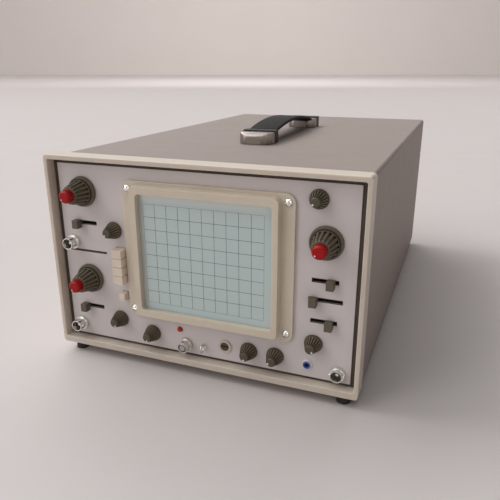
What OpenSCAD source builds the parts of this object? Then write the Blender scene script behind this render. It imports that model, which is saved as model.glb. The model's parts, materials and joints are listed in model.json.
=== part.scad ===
// Two-channel bench oscilloscope with a strap handle.
// X runs to the right of the front panel, Y from the front to the back and Z up from the table.
// The front faces -Y. Inside place(), y is measured from the bezel's front rim and z from its underside.

/* [Body] */
// Width of the front bezel
body_w = 260; // [258:1:320]
// Height of the front bezel, without the feet
body_h = 164.5; // [162:0.5:200]
// Depth from the bezel's front rim to the rear edge of the case
body_d = 425; // [405:1:480]
// Corner radius of the bezel and the case
body_r = 3; // [2.2:0.1:6]
// Height of the feet
foot_h = 8.2; // [5:0.1:15]
// Diameter of a foot where it meets the table
foot_d = 11; // [9:0.5:18]
// Distance of the feet's axes from the sides of the bezel
foot_in_x = 11.9; // [8:0.1:30]
// Distance of the front feet's axes from the bezel's rim
foot_in_front = 9.7; // [7:0.1:10]
// Distance of the rear feet's axes from the rear edge of the case
foot_in_rear = 24; // [16:1:60]

/* [Case] */
// Thickness of the sheet steel
sheet_t = 1.2; // [0.8:0.1:2]
// Step from the bezel's side in to the case
case_in_side = 1.7; // [1.7:0.1:3]
// Step from the bezel's top down to the case
case_in_top = 2.1; // [1:0.1:4]
// Height of the bottom cover's upturned lips
lip_h = 14; // [8:1:24]
// Distance of the rear panel from the rear edge of the case
rear_in = 8.5; // [8:0.5:14]
// Thickness of the rear panel
rear_t = 1.5; // [1:0.1:3]
// Length of the rear panel's side flanges
rear_flange = 22; // [16:1:40]
// Distance of the side screws from the rear edge of the case
side_screw_in = 18; // [14:0.5:22]
// Height of the side screws above the bezel's underside
side_screw_z = 119.5; // [60:0.5:130]
// Number of slots in each row of the rear vents
vent_count = 9; // [4:1:12]
// Width of a vent slot
vent_w = 3; // [2:0.5:5]
// Height of a vent slot
vent_h = 26; // [12:1:34]
// Distance between neighbouring vent slots
vent_pitch = 9; // [7:0.5:12]

/* [Front frame] */
// Depth of the bezel
bezel_d = 17; // [15:0.5:24]
// Width of the bezel's rim at the sides
rim_side = 3.4; // [2.5:0.1:5]
// Width of the bezel's rim at the top
rim_top = 3.7; // [2.5:0.1:6]
// Width of the bezel's rim at the bottom
rim_bottom = 5.4; // [4:0.1:7]
// Width of the ledge behind the backing panel
ledge_w = 2.4; // [1.5:0.1:2.6]
// Depth of the front panel's face behind the rim
panel_in = 7.5; // [5:0.1:8.5]
// Thickness of the front panel
panel_t = 0.9; // [0.8:0.1:3]
// Thickness of the backing panel
backing_t = 2; // [1.5:0.1:2.5]
// Dark gap around the front panel at the sides
gap_side = 4; // [2:0.1:4.5]
// Dark gap around the front panel at the top
gap_top = 3.5; // [2:0.1:6]
// Dark gap around the front panel at the bottom
gap_bottom = 2.4; // [0.6:0.1:3]

/* [Screen] */
// Distance of the screen bezel's flange from the panel's left edge
screen_left = 60.6; // [59.6:0.1:62]
// Distance of the screen bezel's flange from the panel's right edge
screen_right = 44.7; // [43:0.1:48]
// Distance of the screen bezel's flange from the panel's top edge
screen_top = 9.2; // [4:0.1:10]
// Distance of the screen bezel's flange from the panel's bottom edge
screen_bottom = 27.3; // [26.8:0.1:29]
// Thickness of the flange
flange_t = 2.5; // [2:0.1:3.5]
// Corner radius of the flange
flange_r = 7; // [4:0.5:10]
// Distance of the hood's front from the flange's edge at the sides
flange_side = 10.5; // [9.4:0.1:12]
// Distance of the hood's front from the flange's edge at the top and bottom
flange_end = 3.1; // [3:0.1:5]
// Height of the hood in front of the flange
hood_l = 6; // [4:0.5:12]
// Widening of the hood from its front to the flange, on each side
hood_draft = 1; // [0:0.1:3]
// Corner radius of the hood's front face
hood_r = 4; // [3:0.5:14]
// Wall of the hood at the sides
hood_wall_side = 4.6; // [4:0.1:7]
// Wall of the hood at the top and bottom
hood_wall_end = 5.8; // [5:0.1:9]
// Corner radius of the opening
opening_r = 3; // [2:0.5:10]
// Overlap of the bezel's lip on the graticule
graticule_lip = 1.4; // [0.8:0.1:2]
// Thickness of the graticule
graticule_t = 3.5; // [2:0.1:4.5]
// Distance of the screen bezel's screws from the flange's edge at the sides
bezel_screw_side = 5; // [4:0.1:6]
// Distance of the screen bezel's screws from the flange's edge at the top and bottom
bezel_screw_end = 6.3; // [5:0.1:8]

/* [Tube] */
// Distance of the tube's face from the hood's opening at the sides
tube_side = 1.3; // [0.8:0.1:4]
// Distance of the tube's face from the hood's opening at the top and bottom
tube_end = 3.1; // [1.6:0.1:6]
// Depth of the straight part behind the tube's face
tube_face_d = 12; // [8:0.5:20]
// Length of the tube's funnel
funnel_l = 95; // [70:1:120]
// Diameter of the tube's neck
neck_d = 51; // [40:0.5:54]
// Length of the tube's neck
neck_l = 212; // [150:1:215]
// Diameter of the tube's socket
socket_d = 40; // [30:0.5:48]
// Length of the tube's socket
socket_l = 14; // [10:0.5:20]
// Length of the neck that stands out of the shield at each end
shield_end = 8; // [4:1:20]

/* [Range knobs] */
// Diameter of a range knob's skirt
skirt_d = 25; // [22:0.2:26]
// Thickness of a range knob's skirt
skirt_t = 2.8; // [2:0.1:4]
// Diameter of a range knob's grip at the skirt
grip_base_d = 20.4; // [17:0.1:21]
// Diameter of a range knob's grip at its front
grip_front_d = 14.3; // [13.4:0.1:16]
// Length of a range knob's grip
grip_l = 14; // [10:0.2:18]
// Number of flutes around a range knob's grip
flute_count = 16; // [12:1:22]
// Radius of a range knob's flutes
flute_r = 1; // [0.5:0.05:1.1]
// Length of the plain ring behind a range knob's flutes
flute_end = 2; // [1:0.1:4]
// Diameter of the variable cap on a range knob
cap_d = 10.2; // [9:0.1:13]
// Length of the variable cap
cap_l = 6.2; // [3:0.1:7]

/* [Small knobs] */
// Diameter of a small knob's skirt
small_skirt_d = 14.2; // [13:0.1:16]
// Thickness of a small knob's skirt
small_skirt_t = 2.4; // [2.2:0.1:3]
// Diameter of a small knob's grip at the skirt
small_base_d = 12.8; // [9.6:0.1:13]
// Diameter of a small knob's grip at its front
small_front_d = 7.4; // [7:0.1:9.4]
// Length of a small knob's grip
small_grip_l = 9; // [7:0.2:12]
// Number of flutes around a small knob's grip
small_flute_count = 18; // [10:1:20]
// Radius of a small knob's flutes
small_flute_r = 0.5; // [0.3:0.05:0.7]
// Length of the plain ring behind a small knob's flutes
small_flute_end = 0.6; // [0.4:0.1:2]

/* [Control places] */
// Range knobs of the channels, in from the panel's left edge
ch_knob_in = 22.6; // [22.4:0.1:25]
// Height of channel 1's range knob above the panel's bottom edge
ch1_knob_z = 127.6; // [124.2:0.1:132.2]
// Height of channel 2's range knob above the panel's bottom edge
ch2_knob_z = 53.3; // [52.2:0.1:58.2]
// Position knobs of the channels, in from the panel's left edge
ch_pos_in = 49.6; // [44:0.1:51]
// Height of channel 1's position knob above the panel's bottom edge
ch1_pos_z = 98; // [95.2:0.1:101.2]
// Height of channel 2's position knob above the panel's bottom edge
ch2_pos_z = 20.4; // [16.2:0.1:28.2]
// Input sockets of the channels, in from the panel's left edge
ch_input_in = 9.1; // [9:0.1:11]
// Height of channel 1's input socket above the panel's bottom edge
ch1_input_z = 84.3; // [84.2:0.1:88.2]
// Height of channel 2's input socket above the panel's bottom edge
ch2_input_z = 9.7; // [8.2:0.1:16.2]
// Coupling switches of the channels, slot's end in from the panel's left edge
ch_slide_in = 12.9; // [12:0.1:16]
// Height of channel 1's coupling switch above the panel's bottom edge
ch1_slide_z = 101.7; // [99.2:0.1:104.2]
// Height of channel 2's coupling switch above the panel's bottom edge
ch2_slide_z = 27.6; // [24.2:0.1:31.2]
// Timebase knob, in from the panel's right edge
timebase_in = 22.4; // [22:0.1:24]
// Height of the timebase knob above the panel's bottom edge
timebase_z = 107.5; // [105.2:0.1:114.2]
// Trace and level knobs, in from the panel's right edge
right_knob_in = 28.8; // [20:0.1:30]
// Height of the horizontal position knob above the panel's bottom edge
hpos_z = 137.9; // [136.2:0.1:140.2]
// Height of the level knob above the panel's bottom edge
level_z = 28.9; // [24.2:0.1:31.2]
// Trigger switches, slot's end in from the panel's right edge
trigger_in = 12.2; // [10:0.1:14]
// Source switch, slot's end in from the panel's right edge
source_in = 8.8; // [8.4:0.1:10]
// Height of the trigger mode switch above the panel's bottom edge
mode_z = 78.9; // [76.2:0.1:84.2]
// Height of the trigger source switch above the panel's bottom edge
source_z = 64.2; // [61.2:0.1:64.7]
// Height of the trigger slope switch above the panel's bottom edge
slope_z = 47.3; // [45.2:0.1:50.2]
// External input socket, in from the panel's right edge
ext_in = 9.7; // [9:0.1:11]
// Height of the external input socket above the panel's bottom edge
ext_z = 7.5; // [7.2:0.1:14.2]
// Earth socket, in from the panel's right edge
earth_in = 33.1; // [27:0.1:36]
// Height of the earth socket above the panel's bottom edge
earth_z = 10.1; // [6.2:0.1:12.2]
// Height of the knobs in the bottom row above the panel's bottom edge
row_z = 12.4; // [10.8:0.1:13.2]
// Intensity knob, to the left of the panel's middle
intensity_x = 42.5; // [34:0.1:46]
// Focus knob, to the right of the panel's middle
focus_x = 42.7; // [38:0.1:44]
// Scale light knob, to the right of the panel's middle
scale_x = 64.3; // [62.4:0.1:66]
// Trimmer, to the right of the panel's middle
trimmer_x = 22.5; // [18:0.1:25]
// Calibration loop, to the right of the panel's middle
loop_x = 4.2; // [2:0.1:8]
// Height of the calibration loop above the panel's bottom edge
loop_z = 8.6; // [6.2:0.1:16.2]
// Power button, to the left of the panel's middle
power_x = 11.8; // [9:0.1:20]
// Height of the power button above the panel's bottom edge
power_z = 7.8; // [7.2:0.1:10.2]
// Power lamp, to the left of the panel's middle
lamp_x = 17.3; // [12:0.1:24]
// Height of the power lamp above the panel's bottom edge
lamp_z = 20.1; // [18.2:0.1:23.2]
// Display buttons, in from the panel's left edge
button_in = 54.7; // [52:0.1:54.8]
// Height of the display buttons' middle above the panel's bottom edge
button_z = 69.1; // [67.2:0.1:71.2]
// Height of the invert button above the panel's bottom edge
invert_z = 42.6; // [41.2:0.1:44.2]
// Invert button, in from the panel's left edge
invert_in = 55.7; // [54:0.1:56.6]

/* [Switches] */
// Width of a slide switch's cap
slide_w = 5.6; // [5:0.1:9]
// Height of a slide switch's cap
slide_h = 7; // [6:0.1:10]
// Distance of a slide cap's front from the panel
slide_out = 6.5; // [4:0.1:9]
// Distance of a slide cap's middle below its slot
slide_drop = 1.1; // [0:0.1:1.6]
// Travel of the channel coupling switches
ch_slide_travel = 13.7; // [8:0.1:14.5]
// Travel of the trigger mode and slope switches
trigger_travel = 13.6; // [8:0.1:15]
// Distance that a trigger mode or slope switch can still move to the right
trigger_rest = 2.3; // [0:0.1:6]
// Travel of the trigger source switch
source_travel = 19; // [12:0.1:20]
// Distance that the trigger source switch can still move to the left
source_rest = 1.2; // [0:0.1:6]
// Height of a slide switch's slot
slot_h = 2.3; // [1.6:0.1:3]
// Thickness of a slide switch's stem
stem_t = 1.4; // [1:0.1:1.4]
// Width of a push-button
button_w = 9; // [7:0.1:9.4]
// Distance between neighbouring push-buttons
button_pitch = 7.4; // [7:0.1:7.6]
// Distance of a push-button's front from the panel
button_out = 8.2; // [6:0.1:12]
// Width of the invert button
invert_w = 5; // [4.6:0.1:8]
// Height of the invert button
invert_h = 6.4; // [5:0.1:7.4]
// Distance of the invert button's front from the panel
invert_out = 6; // [5.4:0.1:10]
// Travel of a push-button
button_travel = 4; // [2:0.1:5]
// Diameter of the power button
power_d = 7.6; // [5:0.1:8]
// Step from the power button's guide in to its front
power_step = 0.3; // [0.2:0.05:0.8]
// Distance of the power button's front from the panel
power_out = 8.6; // [5:0.1:10]
// Length of the power button's collar in front of the panel
collar_l = 8; // [4.5:0.1:9]
// Wall of the power button's collar
collar_wall = 0.85; // [0.6:0.05:1.1]
// Diameter of the power button's nut
collar_nut_d = 11.6; // [10.5:0.1:12.6]
// Travel of the power button
power_travel = 2.5; // [1.5:0.1:4]

/* [Sockets] */
// Outer diameter of an input socket's shell
input_d = 9.66; // [9.6:0.01:9.7]
// Inner diameter of an input socket's shell
input_bore_d = 8.1; // [8:0.05:8.4]
// Length of an input socket in front of the panel
input_l = 9.5; // [8:0.1:12]
// Length of the external input socket in front of the panel
ext_l = 6; // [5.6:0.1:12]
// Diameter of an input socket's flange
input_flange_d = 12; // [11:0.1:12.4]
// Depth of an input socket's insulator behind the shell's front
input_recess = 5; // [4.6:0.1:6]
// Diameter of the earth socket's bore
earth_bore_d = 4; // [3.9:0.01:4.1]
// Diameter of the earth socket's body
earth_d = 5.8; // [5.6:0.1:7]
// Diameter of the earth socket's collar
earth_collar_d = 8.4; // [8:0.1:10]
// Length of the earth socket's bore
earth_bore_l = 14.4; // [12:0.1:18]
// Diameter of the trimmer
trimmer_d = 7.3; // [6:0.1:8]
// Diameter of the trimmer's bush
trimmer_bush_d = 10.6; // [10.4:0.1:12]
// Diameter of the lamp's lens
lamp_d = 4; // [3:0.1:5]
// Diameter of the calibration loop, at the middle of its wire
loop_d = 6.2; // [4:0.1:7]
// Diameter of the calibration loop's wire
loop_wire_d = 1.2; // [0.8:0.1:1.6]

/* [Handle] */
// Middle of the handle, to the right of the case's middle
handle_x = 1.6; // [-10:0.1:10]
// Distance of the handle's front from the bezel's rim
handle_front = 124; // [60:1:150]
// Distance between the fronts of the two handle ends
handle_span = 153; // [130:1:180]
// Width of a handle end
end_w = 31.5; // [26:0.5:40]
// Length of a handle end
end_l = 26; // [20:0.5:36]
// Height of a handle end
end_h = 11.5; // [9:0.1:18]
// Length of the bright cover on a handle end
cover_l = 15; // [10:0.5:18]
// Height of the bright cover
cover_h = 10.4; // [8:0.1:16]
// Rolled edge along the top of the bright cover's front
cover_roll = 4; // [2.5:0.1:6]
// Thickness of the bright cover
cover_t = 1.5; // [1:0.1:2.5]
// Rounding of the bright cover's front corners
cover_r = 9; // [2:0.1:9.4]
// Width of the strap
strap_w = 28; // [22:0.5:30]
// Thickness of the strap
strap_t = 3.2; // [2:0.1:5]
// Rise of the strap's middle above its ends
strap_rise = 6.4; // [3:0.1:20]

/* [Inside] */
// Width of a side rail
rail_w = 5; // [4:0.1:6]
// Height of a side rail
rail_h = 7; // [5:0.1:9]
// Distance of the rails below the rear of channel 1's input socket
rail_gap = 1; // [0.6:0.1:1.6]
// Distance of the rails' outer faces from the inside of the case
rail_in = 5.6; // [5.4:0.1:6]
// Distance of the tube bracket from the bezel's rim
bracket_y = 230; // [150:1:300]
// Height of the tube bracket
bracket_h = 74; // [66:1:90]
// Thickness of the tube bracket
bracket_t = 1.6; // [1:0.1:3]
// Distance of the circuit board's edges from the inside of the case
board_in = 22.1; // [18:0.1:40]
// Distance of the circuit board's front edge from the bezel's rim
board_y = 46; // [42:1:70]
// Length of the circuit board
board_l = 285; // [200:1:290]
// Thickness of the circuit board
board_t = 1.6; // [1.2:0.1:2.4]
// Height of the board's posts
post_h = 18; // [8:1:24]
// Diameter of the board's posts
post_d = 6; // [4:0.5:8]
// Distance of the posts from the board's edges
post_in = 8; // [6:0.5:14]
// Width of the transformer's core
core_w = 72; // [56:1:80]
// Height of the transformer's core
core_h = 58; // [44:1:64]
// Stack of the transformer's core
core_t = 30; // [20:1:34]
// Length of the transformer's coil
coil_l = 48; // [36:1:52]
// Distance of the transformer's middle from the inside of the case's right side
core_in = 67.1; // [58:0.1:76]
// Distance of the transformer's coil from the rear panel
core_gap = 8; // [4:0.5:20]

/* [Power inlet] */
// Distance of the power inlet's middle from the inside of the case's left side
inlet_in = 57.1; // [42:0.1:66]
// Height of the power inlet above the bezel's underside
inlet_z = 52; // [40:1:60]
// Width of the inlet's cavity
inlet_w = 24.6; // [24:0.1:25]
// Height of the inlet's cavity
inlet_h = 16.6; // [16:0.1:17]
// Depth of the inlet's cavity
inlet_d = 16.5; // [15:0.1:18]
// Wall of the inlet's housing
inlet_wall = 1.6; // [1.2:0.1:2]
// Width of the flange around the inlet
inlet_flange = 4; // [3:0.1:6]
// Length of the inlet's contact blades
blade_l = 10.5; // [8:0.1:11]
// Height of the fuse holder above the inlet's middle
fuse_up = 34; // [28:1:44]
// Diameter of the fuse holder's cap
fuse_cap_d = 14; // [13.4:0.1:18]
// Length of the fuse holder's body
fuse_l = 28; // [20:1:36]

/* [Fits] */
// Clearance between loosely fitted pieces
fit = 0.3; // [0.2:0.05:0.4]
// Radial clearance of a shaft or plunger in its bore
running = 0.05; // [0.02:0.01:0.08]
// Gap between a knob and the panel
knob_gap = 0.6; // [0.4:0.1:1]

/* [Hidden] */
$fn = 64;
eps = 0.05;
// Panel size on which the controls' places are given; they spread with the panel
layout_w = 245.2;
layout_h = 149.5;
// Bearings, shafts and bodies of the rotary controls
bush_r = 4.5;
bush_out = 1.5;
shaft_r = 3;
inner_shaft_r = 1.5;
pot_r = 8.5;
pot_d = 10;
switch_r = 13.5;
switch_d = 16;
shaft_end = 0.3;
pot_shaft_in = 6.5;
// Switch bodies behind the panel
slide_body_h = 9;
slide_body_d = 9;
slide_body_end = 2.4;
slide_stem_in = 4.5;
bank_wall = 2;
button_count = 4;
bank_d = 30;
plunger_w = 4;
plunger_l = 9;
power_body_r = 6.4;
power_body_d = 16;
power_shoulder = 4;
power_edge = 0.4;
power_guide = 3;
power_stop = power_shoulder + power_travel + fit;
// Screws
screw_r = 1.5;
screw_head_r = 2.9;
screw_head_h = 1.9;
screw_dome_r = 3.8;
screw_slot_w = 0.7;
screw_slot_d = 0.8;
side_screw_head_h = 1.4;
side_screw_l = 7;
bezel_screw_l = 9;
// Smaller shapes of the sockets
input_thread_r = 4.7;
input_flange_t = 2.5;
input_rear_r = 5.5;
input_rear_d = 8;
insulator_t = 3;
insulator_boss_r = 2.3;
insulator_boss_l = 1.4;
contact_r = 0.7;
lug_r = 0.95;
lug_out = 0.9;
lug_in = 2.4;
earth_out = 1.9;
earth_collar_t = 1.3;
earth_nut_r = 5;
earth_nut_t = 3;
earth_tail = 3;
trimmer_bush_t = 1.5;
trimmer_in = 0.5;
trimmer_shaft_r = 2;
trimmer_shaft_l = 5;
trimmer_slot_w = 1;
trimmer_slot_d = 0.9;
trimmer_body_r = 6;
trimmer_body_d = 7;
lamp_out = 0.8;
lamp_tail = 4;
loop_base_r = 2.4;
loop_base_t = 1.3;
loop_stud_r = 1.4;
loop_stud_l = 6;
collar_nut_t = 2.4;
knurl_count = 18;
knurl_r = 0.45;
fuse_cap_l = 6;
fuse_r = 6;
fuse_slot_w = 1.4;
fuse_slot_d = 1;
inlet_chamfer = 4;
inlet_flange_t = 3;
blade_w = 4;
blade_t = 2;
blade_spread = 7;
blade_drop = 2;
blade_rise = 2;
foot_top_d = foot_d - 2;
foot_recess_r = 2.6;
foot_recess_d = 3;
socket_key_r = 6;
cap_round = 1.4;
cap_flute_count = 16;
cap_flute_r = 0.45;
tip_round = 0.8;
button_round = 0.8;
coil_grow = 5;
coil_r = 8;
// Worked-out places and sizes
panel_w = body_w - 2 * (rim_side + gap_side);
panel_z0 = rim_bottom + gap_bottom;
panel_z1 = body_h - rim_top - gap_top;
backing_y = panel_in + panel_t;
rear_of_backing = backing_y + backing_t;
left = -panel_w / 2;
right = panel_w / 2;
spread_x = panel_w / layout_w;
spread_z = (panel_z1 - panel_z0) / layout_h;
flange_w = panel_w - screen_left - screen_right;
flange_h = panel_z1 - panel_z0 - screen_top - screen_bottom;
screen_x = (screen_left - screen_right) / 2;
screen_z = (panel_z0 + screen_bottom + panel_z1 - screen_top) / 2;
hood_w = flange_w - 2 * flange_side;
hood_h = flange_h - 2 * flange_end;
opening_w = hood_w - 2 * hood_wall_side;
opening_h = hood_h - 2 * hood_wall_end;
bezel_screw_w = flange_w - 2 * bezel_screw_side;
bezel_screw_h = flange_h - 2 * bezel_screw_end;
tube_face_w = opening_w - 2 * tube_side;
tube_face_h = opening_h - 2 * tube_end;
case_w = body_w - 2 * case_in_side;
case_top = body_h - case_in_top;
inner_w = case_w - 2 * sheet_t;
inner_r = body_r - sheet_t;
rear_y = body_d - rear_in;
grip_y = panel_in - knob_gap - skirt_t - grip_l;
knob_front = grip_y - fit - cap_l;
y_front = -(body_d - knob_front) / 2 - knob_front;
rail_x = inner_w / 2 - rail_in;
rail_z = up(ch1_input_z) - input_rear_r - rail_gap - rail_h;
board_w = inner_w - 2 * board_in;
core_x = inner_w / 2 - core_in;
inlet_x = inner_w / 2 - inlet_in;
power_tip_d = power_d - 2 * power_step;
collar_d = power_d + 2 * (running + collar_wall);
window_w = tube_face_w + 2 * fit;
window_h = tube_face_h + 2 * fit;
graticule_w = opening_w + 2 * graticule_lip;
graticule_h = opening_h + 2 * graticule_lip;
tube_y = panel_in + fit;
neck_y = tube_y + tube_face_d + funnel_l;
shield_r = neck_d / 2 + 2 * fit + sheet_t;
ch_slot = [left + ch_slide_in, left + ch_slide_in + slide_w + 2 * fit + ch_slide_travel];
trigger_slot = [right - trigger_in - slide_w - 2 * fit - trigger_travel, right - trigger_in];
source_slot = [right - source_in - slide_w - 2 * fit - source_travel, right - source_in];
button_x = left + button_in;
invert_x = left + invert_in;
button_h = button_pitch - fit;
bank_h = button_count * button_pitch + fit;
core_end_w = end_w - 2 * cover_t;
core_end_r = cover_r - cover_t;
core_end_roll = cover_roll - cover_t;
strap_y0 = handle_front + end_l;
strap_y1 = handle_front + handle_span;
strap_chord = strap_y1 - strap_y0;
strap_radius = (strap_chord * strap_chord / 4 + strap_rise * strap_rise) / (2 * strap_rise);
board_z = sheet_t + post_h;
vent_x = core_x - (vent_count - 1) / 2 * vent_pitch;
vent_z = case_top / 2;
inlet_outer_w = inlet_w + 2 * inlet_wall;
inlet_outer_h = inlet_h + 2 * inlet_wall;

// Each control's place on the panel: x across, z up from the bezel's underside
CH1_RANGE = [left + ch_knob_in, up(ch1_knob_z)];
CH2_RANGE = [left + ch_knob_in, up(ch2_knob_z)];
TIMEBASE = [right - timebase_in, up(timebase_z)];
CH1_POSITION = [left + ch_pos_in, up(ch1_pos_z)];
CH2_POSITION = [left + ch_pos_in, up(ch2_pos_z)];
INTENSITY = [-intensity_x * spread_x, up(row_z)];
FOCUS = [focus_x * spread_x, up(row_z)];
SCALE_LIGHT = [scale_x * spread_x, up(row_z)];
LEVEL = [right - right_knob_in, up(level_z)];
HORIZONTAL = [right - right_knob_in, up(hpos_z)];
TRIMMER = [trimmer_x * spread_x, up(row_z)];
POWER = [-power_x * spread_x, up(power_z)];
LAMP = [-lamp_x * spread_x, up(lamp_z)];
LOOP = [loop_x * spread_x, up(loop_z)];
EARTH = [right - earth_in, up(earth_z)];
// Input sockets: place and length in front of the panel
INPUTS = [
    [left + ch_input_in, up(ch1_input_z), input_l],
    [left + ch_input_in, up(ch2_input_z), input_l],
    [right - ext_in, up(ext_z), ext_l]
];
RANGES = [CH1_RANGE, CH2_RANGE, TIMEBASE];
POTS = [CH1_POSITION, CH2_POSITION, INTENSITY, FOCUS, SCALE_LIGHT, LEVEL, HORIZONTAL];
// Slide switches: the slot's left and right ends and its height
SLOTS = [
    [ch_slot[0], ch_slot[1], up(ch1_slide_z)],
    [ch_slot[0], ch_slot[1], up(ch2_slide_z)],
    [trigger_slot[0], trigger_slot[1], up(mode_z)],
    [source_slot[0], source_slot[1], up(source_z)],
    [trigger_slot[0], trigger_slot[1], up(slope_z)]
];
BUTTON_ZS = [for (i = [0 : button_count - 1]) up(button_z) + ((button_count - 1) / 2 - i) * button_pitch];

// Height above the bezel's underside of a place given above the panel's bottom edge
function up(z) = panel_z0 + z * spread_z;

// Moves the bezel's own frame to the part's frame, whose origin is under the middle of its box
module place() {
    translate([0, y_front, foot_h]) children();
}

// Moves to a control's place on the panel
module at(p) {
    translate([p[0], 0, p[1]]) children();
}

// Cylinder along Y from y1 back to y2
module rod(r, y1, y2) {
    translate([0, y1, 0]) rotate([-90, 0, 0]) cylinder(r = r, h = y2 - y1);
}

// Cone along Y from radius r1 at y1 back to radius r2 at y2
module taper(r1, r2, y1, y2) {
    translate([0, y1, 0]) rotate([-90, 0, 0]) cylinder(r1 = r1, r2 = r2, h = y2 - y1);
}

// Flat outline in X and Z, extruded from y1 back to y2
module sheet(y1, y2) {
    translate([0, y2, 0]) rotate([90, 0, 0]) linear_extrude(y2 - y1) children();
}

// Rectangle from corner to corner with round corners
module outline(x1, z1, x2, z2, r) {
    translate([x1 + r, z1]) square([x2 - x1 - 2 * r, z2 - z1]);
    translate([x1, z1 + r]) square([x2 - x1, z2 - z1 - 2 * r]);
    for (x = [x1 + r, x2 - r], z = [z1 + r, z2 - r]) translate([x, z]) circle(r);
}

// Rectangle with round corners, centred
module centred(w, h, r) {
    outline(-w / 2, -h / 2, w / 2, h / 2, r);
}

// Rectangle with round corners at the top only
module arch(w, z1, z2, r) {
    translate([-w / 2, z1]) square([w, z2 - r - z1]);
    translate([-w / 2 + r, z1]) square([w - 2 * r, z2 - z1]);
    for (s = [-1, 1]) translate([s * (w / 2 - r), z2 - r]) circle(r);
}

// Box along Y, centred in X and Z
module bar(w, h, y1, y2) {
    translate([-w / 2, y1, -h / 2]) cube([w, y2 - y1, h]);
}

// Inverted channel of bent sheet that covers the top and both sides
module case_cover() color("#a0968e") place() difference() {
    sheet(bezel_d, body_d) arch(case_w, 0, case_top, body_r);
    sheet(bezel_d - eps, body_d + eps) arch(inner_w, -eps, case_top - sheet_t, inner_r);
    for (s = [-1, 1]) translate([s * case_w / 2, body_d - side_screw_in, side_screw_z])
        rotate([0, 90, 0]) cylinder(r = screw_r + fit, h = 4 * sheet_t, center = true);
}

module bottom_cover() color("#968d86") place() {
    w = inner_w - 2 * fit;
    difference() {
        translate([-w / 2, bezel_d, 0]) cube([w, body_d - bezel_d, lip_h]);
        translate([-w / 2 + sheet_t, bezel_d - eps, sheet_t])
            cube([w - 2 * sheet_t, body_d - bezel_d + 2 * eps, lip_h]);
    }
}

// Front frame: a deep rim around the panel and a ledge behind the backing panel
module front_bezel() color("#b4ac98") place() difference() {
    sheet(0, bezel_d) outline(-body_w / 2, 0, body_w / 2, body_h, body_r);
    sheet(-eps, rear_of_backing)
        outline(-body_w / 2 + rim_side, rim_bottom, body_w / 2 - rim_side, body_h - rim_top, body_r / 2);
    sheet(-eps, bezel_d + eps)
        outline(
            -body_w / 2 + rim_side + ledge_w,
            rim_bottom + ledge_w,
            body_w / 2 - rim_side - ledge_w,
            body_h - rim_top - ledge_w,
            body_r / 2
        );
}

// Holes that the front panel and the backing panel share
module panel_cuts(y1, y2) {
    sheet(y1, y2) translate([screen_x, screen_z]) centred(window_w, window_h, opening_r);
    for (p = concat(RANGES, POTS)) at(p) rod(bush_r + fit, y1, y2);
    for (p = INPUTS) at(p) rod(input_thread_r + fit, y1, y2);
    for (s = SLOTS) translate([s[0], y1, s[2] - slot_h / 2]) cube([s[1] - s[0], y2 - y1, slot_h]);
    translate([button_x, 0, up(button_z)]) bar(button_w + 2 * fit, bank_h, y1, y2);
    translate([invert_x, 0, up(invert_z)]) bar(invert_w + 2 * fit, invert_h + 2 * fit, y1, y2);
    for (x = [-1, 1], z = [-1, 1])
        translate([screen_x + x * bezel_screw_w / 2, 0, screen_z + z * bezel_screw_h / 2])
            rod(screw_r + fit, y1, y2);
    at(POWER) rod(collar_d / 2 + fit, y1, y2);
    at(LAMP) rod(lamp_d / 2 + fit, y1, y2);
    at(LOOP) rod(loop_stud_r + fit, y1, y2);
    at(EARTH) rod(earth_d / 2 + fit, y1, y2);
    at(TRIMMER) rod(trimmer_d / 2 + sheet_t + fit, y1, y2);
}

module backing_panel() color("#2d2621") place() difference() {
    sheet(backing_y, rear_of_backing) outline(
        -body_w / 2 + rim_side + fit,
        rim_bottom + fit,
        body_w / 2 - rim_side - fit,
        body_h - rim_top - fit,
        body_r / 2
    );
    panel_cuts(backing_y - eps, rear_of_backing + eps);
}

module front_panel() color("#aaa29f") place() difference() {
    sheet(panel_in, backing_y) outline(left, panel_z0, right, panel_z1, body_r / 4);
    panel_cuts(panel_in - eps, backing_y + eps);
}

// Rear plate with side flanges bent forward for the case screws
module rear_panel() color("#8d857e") place() {
    w = inner_w - 2 * fit;
    z0 = sheet_t + fit;
    z1 = case_top - sheet_t - fit;
    flange_z0 = lip_h + rear_t;
    difference() {
        union() {
            translate([-w / 2 + sheet_t + fit, rear_y - rear_t, z0])
                cube([w - 2 * sheet_t - 2 * fit, rear_t, z1 - z0]);
            for (s = [0, 1]) mirror([s, 0, 0])
                translate([w / 2 - rear_t, rear_y - rear_flange, flange_z0])
                    cube([rear_t, rear_flange, z1 - body_r - flange_z0]);
            translate([-w / 2, rear_y - rear_t, flange_z0]) cube([w, rear_t, z1 - body_r - flange_z0]);
        }
        for (s = [-1, 1]) translate([s * w / 2, body_d - side_screw_in, side_screw_z])
            rotate([0, 90, 0]) cylinder(r = screw_r + running, h = 4 * rear_t, center = true);
        translate([-inlet_x, 0, inlet_z])
            bar(inlet_outer_w + 2 * fit, inlet_outer_h + 2 * fit, rear_y - 2 * rear_t, rear_y + eps);
        translate([-inlet_x, 0, inlet_z + fuse_up]) rod(fuse_r + fit, rear_y - 2 * rear_t, rear_y + eps);
        for (i = [0 : vent_count - 1], row = [0, 1])
            translate([vent_x + i * vent_pitch, 0, vent_z + row * (vent_h + vent_w)])
                bar(vent_w, vent_h, rear_y - 2 * rear_t, rear_y + eps);
    }
}

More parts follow.
